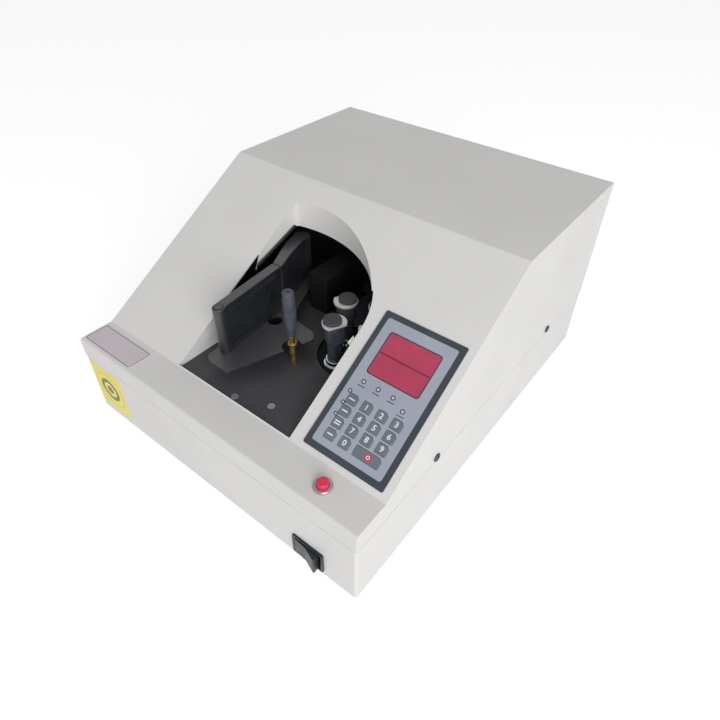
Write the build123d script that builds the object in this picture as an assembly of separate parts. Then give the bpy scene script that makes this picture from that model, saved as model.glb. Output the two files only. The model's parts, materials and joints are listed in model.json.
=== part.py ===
"""Desktop suction-spindle banknote bundle counter, one STEP file per piece.

Shapes are built in the casing's own corner frame: x from the left side, y from the front face and
z up from the underside of the base tray. save() moves each one into the part's frame, whose origin
is on the ground under the middle of the machine, +X to the right, +Y to the back, +Z up.
"""
from build123d import *
from math import atan2, cos, degrees, hypot, pi, radians, sin, sqrt, tan
import os

# ---- casing ------------------------------------------------------------------------------------
case_width = 345.0
case_depth = 420.0
tray_height = 68.8
front_height = 90.2
shelf_depth = 35.0
slope_end = 228.0
top_height = 206.0
sheet = 1.5
bend_radius = 2.5
seam_gap = 0.5
lip_height = 12.0
lip_length = 26.0
foot_height = 10.0
foot_radius = 12.0
foot_inset = 34.0

# ---- opening in the slope and the walls hanging from it ------------------------------------------
opening_left = 104.5
opening_right = 245.9
opening_centre_x = 137.2
opening_centre_y = 82.1
opening_radius = 125.4
opening_blend = 50.0
opening_corner = 6.0
liner_sheet = 1.2
seat_gap = 0.05
liner_bottom = 165.0
liner_window_front = 100.0
liner_window_rear = 149.6
liner_window_low = 142.0
liner_window_lean = 8.0
liner_tab_front = 117.0
liner_tab_rear = 121.0
liner_tab_reach = 4.4
liner_tab_skew = 2.6
liner_tab_overlap = 6.0

# ---- deck and the dark chamber around it ---------------------------------------------------------
deck_top = 88.0
deck_sheet = 2.0
deck_left = 76.0
deck_right = 272.0
deck_front = 6.0
deck_rear = 266.0
deck_flange = 14.0
chamber_inset = 8.0
chamber_front = 44.0
chamber_rear = 262.0
chamber_sheet = 1.2
chamber_gap = 3.0

# ---- turret and spindles -------------------------------------------------------------------------
turret_x = 222.5
turret_y = 155.5
spindle_count = 4
first_spindle_angle = 247.1
first_flat_angle = -28.0
gear_module = 1.0
sun_teeth = 24
planet_teeth = 24
gear_spread = 0.2
tooth_play = 0.22
gear_low = 62.0
gear_width = 8.0
turret_sink = 2.5
turret_gap = 1.5
turret_disc = 5.5
turret_skirt = 2.5
turret_skirt_low = 58.0
belt_width = 7.0
belt_thickness = 1.6
belt_clearance = 0.3
flange_rise = 3.2
flange_width = 2.0
hub_radius = 6.0
hub_low = 24.0
journal_radius = 5.0
running_clearance = 0.05
shaft_radius = 7.5
collar_gap = 0.3
collar_radius = 9.5
collar_flange_radius = 11.0
collar_flange = 2.0
collar_height = 7.5
head_radius = 9.6
head_low = 116.5
head_taper = 3.5
head_top = 133.5
head_flat = 6.4
suction_hole_radius = 1.0
disc_radius = 11.7
disc_thickness = 2.4
disc_flat = 7.9
cap_radius = 8.7
cap_height = 3.2
cap_offset = 1.8
cap_turn = 244.0

# ---- drive below the deck ------------------------------------------------------------------------
housing_foot_radius = 26.0
housing_foot = 5.0
housing_low_radius = 14.0
housing_neck_radius = 10.0
housing_neck = 8.0
motor_x = 132.0
motor_y = 108.0
motor_radius = 28.0
motor_top = 54.0
motor_round = 2.5
motor_boss_radius = 9.0
motor_boss = 2.0
motor_foot_length = 68.0
motor_foot_width = 24.0
foot_sheet = 4.0
motor_pulley_radius = 13.0
motor_shaft_radius = 4.0
motor_shaft_length = 20.0
shaft_end_play = 2.0
hose_radius = 5.5
hose_height = 16.0
nipple_radius = 6.5
nipple_length = 24.0
pump_x = 176.0
pump_front = 284.0
pump_rear_gap = 32.0
pump_radius = 38.0
pump_lift = 6.0
pump_band = 8.0
pump_band_rise = 4.0
pump_band_inset = 16.0
pump_foot_width = 84.0
pump_foot_height = 14.0

# ---- electrics in the tray -----------------------------------------------------------------------
supply_left = 10.0
supply_front = 70.0
supply_width = 48.0
supply_length = 120.0
supply_top = 46.0
supply_slots = 8
control_front = 70.0
control_length = 180.0
control_lift = 8.0

# ---- note clamp ----------------------------------------------------------------------------------
clamp_plate_top = 105.0
clamp_plate_sheet = 2.5
clamp_pivot_x = 109.5
clamp_pivot_y = 200.0
clamp_shaft_radius = 6.0
clamp_thrust_radius = 9.0
clamp_bush_low = 64.0
notch_x = 180.5
notch_y = 109.4
notch_radius = 9.5
pin_x = 136.8
pin_y = 68.3
pin_radius = 3.75
rail_end_x = 129.3
rail_end_y = 147.3
rail_width = 10.2
post_radius = 5.9
rail_top = 154.0
rail_gap = 0.4
rail_round = 0.8
jaw_thickness = 3.2
jaw_low = 112.5
jaw_high = 150.0
jaw_start = 0.8
jaw_end_gap = 8.2
jaw_rim = 1.6
jaw_recess = 0.8
jaw_heel = 49.0
jaw_tip = 3.5
plate_hole_x = 141.3
plate_hole_y = 127.0
plate_hole_radius = 7.0
arm_gap = 0.8
arm_front_inner = 5.9
arm_front_outer = 4.9
arm_right = [(125.3, 170.5), (119.2, 188.9), (116.8, 200.0), (117.2, 208.5)]
arm_left = [(112.3, 212.7), (106.0, 211.5), (99.4, 206.3), (102.5, 196.0), (106.0, 183.0), (115.9, 162.7)]
arm_top = 154.0
arm_round = 1.5
actuator_x = 136.0
actuator_y = 182.6
actuator_width = 24.0
actuator_depth = 62.0
actuator_top = 130.0

# ---- guide roller --------------------------------------------------------------------------------
stud_x = 183.5
stud_y = 107.6
stud_radius = 3.3
stud_collar_low = 110.0
stud_collar_high = 113.0
stud_collar_radius = 4.75
stud_neck_radius = 2.85
stud_pin_radius = 2.0
roller_low = 122.5
roller_top = 170.0
roller_low_radius = 3.9
roller_mid_radius = 5.8
roller_top_radius = 5.2
roller_mid = 143.0

# ---- keypad and display, measured on the slope ---------------------------------------------------
panel_left = 258.3
panel_low = 5.3
panel_width = 80.0
panel_length = 130.0
panel_thickness = 1.0
board_depth = 8.8
board_thickness = 1.6
board_margin = 8.5
key_width = 10.0
key_length = 8.8
key_pitch_x = 14.7
key_pitch_s = 10.9
key_proud = 0.5
key_sunk = 1.0
key_travel = 0.5
key_clearance = 0.25
key_clip = 2.8
key_round = 0.9
key_left = 276.0
key_low = 21.7
window_left = 273.0
window_low = 80.3
window_width = 50.2
window_length = 39.0
window_round = 2.5
led_radius = 1.45
small_led_radius = 1.2
led_clearance = 0.1
led_row = 71.6
led_stamp_x = 318.4
led_stamp_s = 65.8
digit_block_width = 50.0
digit_block_length = 19.0
digit_block_depth = 8.0

# ---- push button, rocker switch, badge and sticker -----------------------------------------------
button_x = 298.0
button_y = 18.2
bezel_radius = 8.0
bezel_height = 2.2
bezel_bore = 5.4
button_radius = 5.0
button_height = 6.6
button_travel = 2.5
button_body_radius = 6.9
button_body_depth = 16.0
rocker_x = 295.2
rocker_z = 17.5
rocker_width = 32.9
rocker_height = 25.0
rocker_rim = 2.0
rocker_wall = 2.0
rocker_depth = 18.0
paddle_half = 13.2
paddle_height = 20.0
paddle_reach = 6.0
paddle_dish = 1.8
paddle_pivot_depth = 0.7
paddle_tilt = 12.0
trunnion_radius = 1.5
badge_left = 2.5
badge_front = 4.0
badge_width = 71.0
badge_depth = 24.5
badge_thickness = 0.8
sticker_left = 0.8
sticker_low = 9.0
sticker_width = 50.2
sticker_height = 56.0
sticker_thickness = 0.3

# ---- rear and inside -----------------------------------------------------------------------------
inlet_x = 60.0
inlet_z = 34.0
inlet_width = 50.0
inlet_height = 28.0
inlet_flange = 3.0
inlet_socket_width = 24.0
inlet_socket_height = 16.5
inlet_socket_depth = 16.0
inlet_pin_length = 10.0
inlet_wall = 2.0
inlet_corner = 4.0
inlet_screw_spacing = 40.0
inlet_screw_radius = 1.7
vent_count = 12
vent_width = 3.0
vent_height = 42.0
vent_pitch = 9.0
vent_low = 120.0
side_screw_radius = 4.0
side_screw_height = 73.9
side_screw_front = 107.0
side_screw_rear = 324.0
side_screw_head = 1.6
deck_screws = [(173.8, 41.9), (207.1, 53.9)]
deck_screw_radius = 3.4

# ---- places that follow from the sizes -----------------------------------------------------------
slope_angle = degrees(atan2(top_height - front_height, slope_end - shelf_depth))
slope = Plane(
    origin=(0, shelf_depth, front_height),
    x_dir=(1, 0, 0),
    z_dir=(0, -sin(radians(slope_angle)), cos(radians(slope_angle))),
)
deck_under = deck_top - deck_sheet
pump_length = case_depth - pump_front - pump_rear_gap
gear_high = gear_low + gear_width
sun_pitch_radius = sun_teeth * gear_module / 2
planet_pitch_radius = planet_teeth * gear_module / 2
spindle_ring = sun_pitch_radius + planet_pitch_radius + gear_spread
turret_hole_radius = spindle_ring + collar_flange_radius + 4.3
turret_disc_radius = turret_hole_radius - turret_gap
turret_top = deck_top - turret_sink
skirt_inner = spindle_ring + planet_pitch_radius + gear_module + 1.6
skirt_outer = skirt_inner + turret_skirt
groove_low = turret_skirt_low + flange_width
belt_low = groove_low + 0.5
groove_high = belt_low + belt_width + 0.5


def slope_height(y):
    """Height of the slope's outer face at depth y."""
    return front_height + (y - shelf_depth) * tan(radians(slope_angle))


def block(x0, x1, y0, y1, z0, z1):
    return Pos((x0 + x1) / 2, (y0 + y1) / 2, (z0 + z1) / 2) * Box(x1 - x0, y1 - y0, z1 - z0)


def rod(x, y, z0, z1, radius):
    return Pos(x, y, (z0 + z1) / 2) * Cylinder(radius, z1 - z0)


def ring(x, y, z0, z1, outer, inner):
    return rod(x, y, z0, z1, outer) - rod(x, y, z0 - 1, z1 + 1, inner)


def polygon(points):
    return make_face(Polyline(points, close=True))


def prism(face, z0, z1):
    return extrude(Pos(0, 0, z0) * face, z1 - z0)


def side_prism(points, x0, x1):
    """Solid whose outline is given in (y, z), reaching from x0 to x1."""
    face = Plane.YZ * polygon(points)
    return extrude(Pos(x0, 0, 0) * face, x1 - x0, dir=(1, 0, 0))


def on_slope(x0, x1, s0, s1, h0, h1):
    """Box standing on the slope: x across, s up the slope, h out of it."""
    return slope * (Pos((x0 + x1) / 2, (s0 + s1) / 2, (h0 + h1) / 2) * Box(x1 - x0, s1 - s0, h1 - h0))


def save(name, *solids):
    """Write one node, moved from the casing's corner to the part's own frame."""
    shape = solids[0] if len(solids) == 1 else Compound(children=list(solids))
    export_step(Pos(-case_width / 2, -origin_y, foot_height) * shape, f"parts/{name}.step")


def case_profile(inset, low):
    """Side outline of the casing, drawn in by inset, reaching down to low."""
    outline = [
        (0, low),
        (0, front_height),
        (shelf_depth, front_height),
        (slope_end, top_height),
        (case_depth, top_height),
        (case_depth, low),
    ]
    face = polygon(outline)
    if inset:
        return offset(face, -inset)
    return face


def opening_outline(inset):
    """Plan of the opening in the slope: straight sides, an arc at the back, drawn in by inset."""
    left = opening_left + inset
    right = opening_right - inset
    radius = opening_radius - inset
    front = shelf_depth + bend_radius / 2
    rear_left = opening_centre_y + sqrt(radius**2 - (opening_centre_x - left) ** 2)
    rear_right = opening_centre_y + sqrt(radius**2 - (right - opening_centre_x) ** 2)
    sides = Polyline((left, rear_left), (left, front), (right, front), (right, rear_right))
    top = (opening_centre_x, opening_centre_y + radius)
    arc = ThreePointArc((right, rear_right), top, (left, rear_left))
    face = make_face([*sides.edges(), *arc.edges()])
    rear = face.vertices().sort_by(Axis.Y)[-2:]
    face = fillet(rear.sort_by(Axis.X)[-1], opening_blend - inset)
    rear = face.vertices().sort_by(Axis.X)[:2].sort_by(Axis.Y)
    return fillet(rear[-1], opening_corner - inset)


# ---- casing --------------------------------------------------------------------------------------
def screw_places():
    return [(side, y) for side in (0, 1) for y in (side_screw_front, side_screw_rear)]


def base_tray():
    tray = block(0, case_width, 0, case_depth, 0, tray_height)
    vertical = tray.edges().filter_by(Axis.Z)
    tray = fillet(vertical, bend_radius)
    tray -= block(sheet, case_width - sheet, sheet, case_depth - sheet, sheet, tray_height + 1)
    for side, y in screw_places():
        x0 = sheet if side == 0 else case_width - 2 * sheet
        half = lip_length / 2
        tray += block(x0, x0 + sheet, y - half, y + half, tray_height - 16, tray_height + lip_height)
    for side, y in screw_places():
        bore = Pos(side * case_width, y, side_screw_height) * Rot(0, 90, 0) * Cylinder(2.0, 10 * sheet)
        tray -= bore
    rocker_hole = block(
        rocker_x - rocker_width / 2 + rocker_wall,
        rocker_x + rocker_width / 2 - rocker_wall,
        -1,
        sheet + 1,
        rocker_z - rocker_height / 2 + 1.0,
        rocker_z + rocker_height / 2 - 1.0,
    )
    tray -= rocker_hole
    tray -= block(
        inlet_x - inlet_socket_width / 2 - inlet_wall - 1,
        inlet_x + inlet_socket_width / 2 + inlet_wall + 1,
        case_depth - sheet - 1,
        case_depth + 1,
        inlet_z - inlet_socket_height / 2 - inlet_wall - 1,
        inlet_z + inlet_socket_height / 2 + inlet_wall + 1,
    )
    return tray


def top_cover():
    below = tray_height - 20
    outer_face = case_profile(0, below)
    outer_face = fillet(outer_face.vertices().sort_by(Axis.Y)[-4:], bend_radius)
    outer = extrude(Plane.YZ * outer_face, case_width, dir=(1, 0, 0))
    inner = extrude(Plane.YZ * case_profile(sheet, below - 10), case_width - 2 * sheet, dir=(1, 0, 0))
    cover = outer - Pos(sheet, 0, 0) * inner
    cover &= block(-1, case_width + 1, -1, case_depth + 1, tray_height + seam_gap, top_height + 1)
    cover -= prism(opening_outline(0), deck_top + 1, top_height + 10)
    margin = board_margin - 2
    cover -= on_slope(
        panel_left + margin,
        panel_left + panel_width - margin,
        panel_low + margin,
        panel_low + panel_length - margin,
        -5,
        5,
    )
    cover -= rod(button_x, button_y, front_height - 5, front_height + 5, button_body_radius + 0.1)
    for side, y in screw_places():
        cover -= Pos(side * case_width, y, side_screw_height) * Rot(0, 90, 0) * Cylinder(2.2, 4 * sheet)
    for index in range(vent_count):
        x = case_width / 2 + (index - (vent_count - 1) / 2) * vent_pitch
        cover -= block(
            x - vent_width / 2,
            x + vent_width / 2,
            case_depth - 2 * sheet,
            case_depth + 1,
            vent_low,
            vent_low + vent_height,
        )
    return cover


def below_slope(drop):
    """Everything under the slope's outer face, lowered by drop."""
    rise = case_depth - shelf_depth
    return side_prism(
        [
            (shelf_depth - 5, 0),
            (shelf_depth - 5, slope_height(shelf_depth - 5) - drop),
            (shelf_depth + rise, slope_height(shelf_depth + rise) - drop),
            (shelf_depth + rise, 0),
        ],
        0,
        case_width,
    )


def recess_liner():
    band = opening_outline(0) - opening_outline(liner_sheet)
    curved = prism(band, liner_bottom, top_height)
    curved &= below_slope(0)
    curved &= block(0, case_width, opening_centre_y, case_depth, 0, top_height)
    curved -= block(0, opening_left + liner_sheet, 0, liner_window_rear, 0, top_height)
    corner_y = opening_centre_y + sqrt(opening_radius**2 - (opening_centre_x - opening_left) ** 2)
    corner_y -= opening_corner
    wall_rear = side_prism(
        [
            (liner_window_rear, slope_height(liner_window_rear)),
            (liner_window_rear - liner_window_lean, liner_window_low),
            (corner_y, liner_bottom),
            (corner_y, slope_height(corner_y)),
        ],
        opening_left,
        opening_left + liner_sheet,
    )
    wall_rear &= prism(opening_outline(0), deck_top, top_height)
    front = shelf_depth + bend_radius
    wall_front = side_prism(
        [
            (front, deck_top + 0.2),
            (front, slope_height(front)),
            (liner_window_front, slope_height(liner_window_front)),
            (liner_window_front, deck_top + 0.2),
        ],
        opening_left,
        opening_left + liner_sheet,
    )
    inner = opening_right - liner_tab_reach
    rooted = opening_right + liner_tab_overlap
    tab_corners = [
        (inner, liner_tab_front),
        (rooted, liner_tab_front - liner_tab_skew),
        (rooted, liner_tab_rear),
        (opening_right, liner_tab_rear),
        (inner + liner_tab_skew / 2, liner_tab_rear + liner_tab_skew),
    ]
    tab_low = sheet / cos(radians(slope_angle)) + seat_gap
    tab = prism(polygon(tab_corners), deck_top, top_height) & below_slope(tab_low)
    tab -= below_slope(tab_low + liner_sheet)
    return [curved + wall_rear, wall_front, tab]


def deck_plate():
    deck = block(deck_left, deck_right, deck_front, deck_rear, deck_under, deck_top)
    for wall, flange in ((deck_left, -1), (deck_right - deck_sheet, 1)):
        deck += block(wall, wall + deck_sheet, deck_front + 30, deck_rear, sheet, deck_top)
        edge = wall if flange < 0 else wall + deck_sheet
        x0, x1 = sorted((edge, edge + flange * deck_flange))
        deck += block(x0, x1, deck_front + 30, deck_rear, sheet, sheet + deck_sheet)
    deck += rod(clamp_pivot_x, clamp_pivot_y, clamp_bush_low, deck_under, clamp_shaft_radius + 3)
    deck -= rod(turret_x, turret_y, deck_under - 1, deck_top + 1, turret_hole_radius)
    deck -= rod(clamp_pivot_x, clamp_pivot_y, 0, deck_top + 1, clamp_shaft_radius + running_clearance)
    deck -= rod(stud_x, stud_y, 0, deck_top + 1, stud_pin_radius)
    for x, y in deck_screws:
        deck -= countersink(x, y, 0.0)
    return deck


def countersink(x, y, play):
    """Head and shank of a countersunk deck screw, slimmer by play."""
    head = Pos(x, y, deck_top - 0.9) * Cone(deck_screw_radius / 2, deck_screw_radius - play, 1.8)
    shank = rod(x, y, deck_under - 8, deck_top - 0.9, deck_screw_radius / 2 - play)
    return head + shank


def chamber_wall():
    left = deck_left + chamber_inset
    right = deck_right - chamber_inset
    outer = block(left, right, chamber_front, chamber_rear, deck_top, top_height)
    inner_box = block(
        left + chamber_sheet,
        right - chamber_sheet,
        chamber_front - 1,
        chamber_rear - chamber_sheet,
        deck_top - 1,
        top_height + 1,
    )
    walls = outer - inner_box
    drop = sheet / cos(radians(slope_angle)) + chamber_gap
    walls &= below_slope(drop)
    walls &= block(0, case_width, 0, case_depth, 0, top_height - sheet - chamber_gap)
    board_room = on_slope(
        panel_left + board_margin - 3,
        panel_left + panel_width,
        panel_low,
        panel_low + panel_length + 5,
        -board_depth - board_thickness - 4,
        10,
    )
    return walls - board_room


def rubber_feet():
    feet = []
    for x in (foot_inset, case_width - foot_inset):
        for y in (foot_inset, case_depth - foot_inset):
            foot = rod(x, y, -foot_height, 0, foot_radius)
            foot = chamfer(foot.edges().sort_by(Axis.Z)[0], 1.5)
            feet.append(foot)
    return feet


def screws():
    heads = []
    for side, y in screw_places():
        turn = 90 if side else -90
        head = Pos(0, 0, side_screw_head / 2) * Cylinder(side_screw_radius, side_screw_head)
        head = fillet(head.edges().sort_by(Axis.Z)[-1], 0.8)
        head -= Pos(0, 0, side_screw_head) * Box(5.2, 0.9, 1.2)
        head -= Pos(0, 0, side_screw_head) * Box(0.9, 5.2, 1.2)
        shank = Pos(0, 0, -2.5 * sheet) * Cylinder(1.9, 5 * sheet)
        heads.append(Pos(side * case_width, y, side_screw_height) * Rot(0, turn, 0) * (head + shank))
    for x, y in deck_screws:
        head = countersink(x, y, 0.05)
        head -= Pos(x, y, deck_top) * Rot(0, 0, 30) * Box(5.0, 0.9, 1.4)
        heads.append(head)
    return heads


# ---- turret --------------------------------------------------------------------------------------
def gear_outline(teeth, tooth_angle):
    """Straight-flanked gear with one tooth centred on tooth_angle."""
    pitch_radius = teeth * gear_module / 2
    slant = tan(radians(20)) * gear_module
    half = pi * gear_module / 4 - tooth_play / 4
    tip = (pitch_radius + 0.85 * gear_module, half - 0.85 * slant)
    root = (pitch_radius - 1.15 * gear_module, half + 1.15 * slant)
    points = []
    for index in range(teeth):
        centre = radians(tooth_angle + index * 360 / teeth)
        for (radius, width), side in ((root, -1), (tip, -1), (tip, 1), (root, 1)):
            angle = centre + side * width / radius
            points.append((radius * cos(angle), radius * sin(angle)))
    return polygon(points)


def spindle_places():
    """Position angle, flat's angle, x and y of each spindle's axis."""
    places = []
    for index in range(spindle_count):
        turn = index * 360 / spindle_count
        angle = first_spindle_angle - turn
        flat = first_flat_angle - turn * (1 + sun_teeth / planet_teeth)
        x = turret_x + spindle_ring * cos(radians(angle))
        y = turret_y + spindle_ring * sin(radians(angle))
        places.append((angle, flat, x, y))
    return places


def turret_drum():
    shoulder_top = turret_top - 2.5
    shoulder_low = turret_top - turret_disc
    drum = rod(turret_x, turret_y, shoulder_top, turret_top, turret_disc_radius)
    drum += rod(turret_x, turret_y, shoulder_low, shoulder_top, skirt_outer)
    drum += ring(turret_x, turret_y, turret_skirt_low, shoulder_low, skirt_outer, skirt_inner)
    rim = skirt_outer + flange_rise
    drum += ring(turret_x, turret_y, turret_skirt_low, groove_low, rim, skirt_inner)
    drum += ring(turret_x, turret_y, groove_high, groove_high + flange_width, rim, skirt_inner)
    drum += rod(turret_x, turret_y, hub_low, shoulder_low, hub_radius)
    for angle, flat, x, y in spindle_places():
        drum -= rod(x, y, shoulder_low - 1, turret_top + 1, journal_radius + running_clearance)
    return drum


def turret_housing():
    top = gear_low
    housing = rod(turret_x, turret_y, sheet, sheet + housing_foot, housing_foot_radius)
    housing += rod(turret_x, turret_y, sheet, top - housing_neck, housing_low_radius)
    housing += rod(turret_x, turret_y, sheet, top, housing_neck_radius)
    nipple = Rot(-90, 0, 0) * Cylinder(nipple_radius, nipple_length)
    housing += Pos(turret_x, turret_y + nipple_length / 2, hose_height) * nipple
    housing -= rod(turret_x, turret_y, hub_low - shaft_end_play, top + 1, hub_radius + running_clearance)
    return housing


def sun_gear():
    face = gear_outline(sun_teeth, first_spindle_angle)
    gear = Pos(turret_x, turret_y, 0) * prism(face, gear_low, gear_high)
    return gear - rod(turret_x, turret_y, gear_low - 1, gear_high + 1, hub_radius + 0.4)


def spindle_collar(x, y):
    collar = rod(x, y, turret_top, turret_top + collar_flange, collar_flange_radius)
    tall = rod(x, y, turret_top, turret_top + collar_height, collar_radius)
    tall = fillet(tall.edges().sort_by(Axis.Z)[-1], 0.8)
    return collar + tall - rod(x, y, 0, turret_top + collar_height + 1, shaft_radius + collar_gap)


def flatten(shape, distance, low, high):
    """Cut everything further than distance along +X, between two heights."""
    return shape - block(distance, distance + 30, -30, 30, low, high)


def spindle(angle, flat, x, y):
    phase = angle + 180 + 180 / planet_teeth
    gear = prism(gear_outline(planet_teeth, phase), gear_low, gear_high)
    body = gear + rod(0, 0, gear_low - 2, turret_top + 1, journal_radius)
    upper = rod(0, 0, turret_top + collar_gap, head_low, shaft_radius)
    upper += Pos(0, 0, head_low - head_taper / 2) * Cone(shaft_radius, head_radius, head_taper)
    upper += rod(0, 0, head_low, head_top, head_radius)
    upper = flatten(upper, head_flat, head_low, head_top + 1)
    rim = rod(0, 0, head_top, head_top + disc_thickness, disc_radius)
    rim = chamfer(rim.edges().sort_by(Axis.Z)[-1], 0.5)
    upper += flatten(rim, disc_flat, 0, 200)
    for side in (-1, 1):
        hole = Pos(head_flat, side * 3.2, head_low + 10 + side * 2) * Rot(0, 90, 0)
        upper -= hole * Cylinder(suction_hole_radius, 5)
    return Pos(x, y, 0) * (body + Rot(0, 0, flat) * upper)


def spindle_cap(flat, x, y):
    turn = radians(flat + cap_turn)
    low = head_top + disc_thickness
    cap = rod(x + cap_offset * cos(turn), y + cap_offset * sin(turn), low, low + cap_height, cap_radius)
    return fillet(cap.edges().sort_by(Axis.Z)[-1], 0.7)


# ---- drive, pump and electrics -------------------------------------------------------------------
def drive_motor():
    body = rod(motor_x, motor_y, sheet, motor_top, motor_radius)
    body = fillet(body.edges().sort_by(Axis.Z)[-1], motor_round)
    body += rod(motor_x, motor_y, sheet, motor_top + motor_boss, motor_boss_radius)
    body += Pos(motor_x, motor_y, sheet + foot_sheet / 2) * Box(motor_foot_length, motor_foot_width, foot_sheet)
    bore_low = motor_top - motor_shaft_length - shaft_end_play
    return body - rod(motor_x, motor_y, bore_low, motor_top + 5, motor_shaft_radius + running_clearance)


def motor_pulley():
    wheel = rod(motor_x, motor_y, turret_skirt_low, groove_high + flange_width, motor_pulley_radius)
    rim = motor_pulley_radius + flange_rise
    wheel += rod(motor_x, motor_y, turret_skirt_low, groove_low, rim)
    wheel += rod(motor_x, motor_y, groove_high, groove_high + flange_width, rim)
    shaft_low = motor_top - motor_shaft_length
    return wheel + rod(motor_x, motor_y, shaft_low, turret_skirt_low + 1, motor_shaft_radius)


def loop_face(big, small):
    """Filled outline of a belt running round the turret drum and the motor pulley."""
    dx = motor_x - turret_x
    dy = motor_y - turret_y
    distance = hypot(dx, dy)
    lean = atan2(dy, dx)
    spread = pi / 2 - atan2(big - small, sqrt(distance**2 - (big - small) ** 2))
    corners = []
    for (x, y, radius), side in (
        ((turret_x, turret_y, big), 1),
        ((motor_x, motor_y, small), 1),
        ((motor_x, motor_y, small), -1),
        ((turret_x, turret_y, big), -1),
    ):
        angle = lean + side * spread
        corners.append((x + radius * cos(angle), y + radius * sin(angle)))
    face = polygon(corners)
    face += Pos(turret_x, turret_y) * Circle(big)
    face += Pos(motor_x, motor_y) * Circle(small)
    return face


def drive_belt():
    big = skirt_outer + belt_clearance
    small = motor_pulley_radius + belt_clearance
    outer = loop_face(big + belt_thickness, small + belt_thickness)
    return prism(outer - loop_face(big, small), belt_low, belt_low + belt_width)


def vacuum_pump():
    rear = pump_front + pump_length
    centre_z = sheet + pump_lift + pump_radius
    turned = Rot(-90, 0, 0)
    body = Pos(pump_x, (pump_front + rear) / 2, centre_z) * turned * Cylinder(pump_radius, pump_length)
    for y in (pump_front + pump_band_inset + pump_band / 2, rear - pump_band_inset - pump_band / 2):
        body += Pos(pump_x, y, centre_z) * turned * Cylinder(pump_radius + pump_band_rise, pump_band)
    half = pump_foot_width / 2
    low = pump_front + pump_band_inset
    body += block(pump_x - half, pump_x + half, low, rear - pump_band_inset, sheet, sheet + pump_foot_height)
    return body + Pos(pump_x, pump_front, hose_height) * turned * Cylinder(nipple_radius, nipple_length)


def vacuum_hose():
    start = (turret_x, turret_y + nipple_length, hose_height)
    end = (pump_x, pump_front - nipple_length / 2, hose_height)
    run = (end[1] - start[1]) / 3
    points = [start, (turret_x, start[1] + run, hose_height), (pump_x, end[1] - run, hose_height), end]
    turn = atan2(abs(turret_x - pump_x), run)
    radius = 0.45 * run / tan(turn / 2)
    path = FilletPolyline(*points, radius=radius)
    section = Plane(origin=start, z_dir=(0, 1, 0)) * Circle(hose_radius)
    return sweep(section, path=path)


def power_supply():
    left = supply_left
    right = left + supply_width
    rear = supply_front + supply_length
    case = block(left, right, supply_front, rear, sheet + foot_sheet, supply_top)
    pitch = supply_length / (supply_slots + 1)
    for index in range(supply_slots):
        y = supply_front + (index + 1) * pitch
        case -= block(left + 8, right - 8, y - 2, y + 2, supply_top - 2, supply_top + 1)
    for y in (supply_front + pitch, rear - pitch):
        case += block(left - 4, right + 4, y - 6, y + 6, sheet, sheet + foot_sheet)
    return case


def control_board():
    left = deck_right + deck_flange + 4
    right = case_width - 8
    front = control_front
    rear = front + control_length
    low = sheet + control_lift
    top = low + board_thickness
    board = block(left, right, front, rear, low, top)
    for y in (front + 6, rear - 6):
        for x in (left + 4, right - 4):
            board += rod(x, y, sheet, low, 3)
    for start, length, width, height in ((14, 28, 22, 14), (54, 12, 26, 6), (130, 38, 32, 5)):
        board += block(left + 8, left + 8 + width, front + start, front + start + length, top, top + height)
    for along in (90, 112):
        board += rod(left + 16, front + along, top, top + 18, 8)
    return board


def mains_inlet():
    low = inlet_z - inlet_height / 2
    flange = block(
        inlet_x - inlet_width / 2,
        inlet_x + inlet_width / 2,
        case_depth,
        case_depth + inlet_flange,
        low,
        low + inlet_height,
    )
    flange = fillet(flange.edges().filter_by(Axis.Y), inlet_corner)
    floor_y = case_depth + inlet_flange - inlet_socket_depth
    body = block(
        inlet_x - inlet_socket_width / 2 - inlet_wall,
        inlet_x + inlet_socket_width / 2 + inlet_wall,
        floor_y - inlet_wall,
        case_depth + 1,
        inlet_z - inlet_socket_height / 2 - inlet_wall,
        inlet_z + inlet_socket_height / 2 + inlet_wall,
    )
    inlet = flange + body
    socket = block(
        inlet_x - inlet_socket_width / 2,
        inlet_x + inlet_socket_width / 2,
        floor_y,
        case_depth + inlet_flange + 1,
        inlet_z - inlet_socket_height / 2,
        inlet_z + inlet_socket_height / 2,
    )
    upper = socket.edges().filter_by(Axis.Y).sort_by(Axis.Z)[-2:]
    inlet -= chamfer(upper, inlet_corner)
    for x, z in ((-7, -2), (0, 2), (7, -2)):
        px = inlet_x + x
        pz = inlet_z + z
        inlet += block(px - 1, px + 1, floor_y - 1, floor_y + inlet_pin_length, pz - 2, pz + 2)
    for side in (-1, 1):
        place = Pos(inlet_x + side * inlet_screw_spacing / 2, case_depth + inlet_flange, inlet_z)
        inlet -= place * Rot(-90, 0, 0) * Cylinder(inlet_screw_radius, 2)
    return inlet


# ---- note clamp ----------------------------------------------------------------------------------
def clamp_plate():
    corners = [
        (138.2, 47.7),
        (160.8, 48.3),
        (189.8, 128.5),
        (182.7, 136.9),
        (150.0, 141.0),
        (120.5, 214.0),
        (97.5, 208.0),
        (128.7, 63.3),
        (129.7, 52.2),
    ]
    face = polygon(corners)
    face = fillet(face.vertices(), 2.6)
    face -= Pos(notch_x, notch_y) * Circle(notch_radius)
    face -= Pos(plate_hole_x, plate_hole_y) * Circle(plate_hole_radius)
    plate = prism(face, clamp_plate_top - clamp_plate_sheet, clamp_plate_top)
    plate += rod(pin_x, pin_y, clamp_plate_top - 0.5, rail_top + 0.2, pin_radius)
    return plate - rod(clamp_pivot_x, clamp_pivot_y, 0, rail_top, clamp_shaft_radius)


def between(x0, y0, x1, y1):
    """Length and direction of the line from one plan point to another."""
    return hypot(x1 - x0, y1 - y0), degrees(atan2(y1 - y0, x1 - x0))


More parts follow.
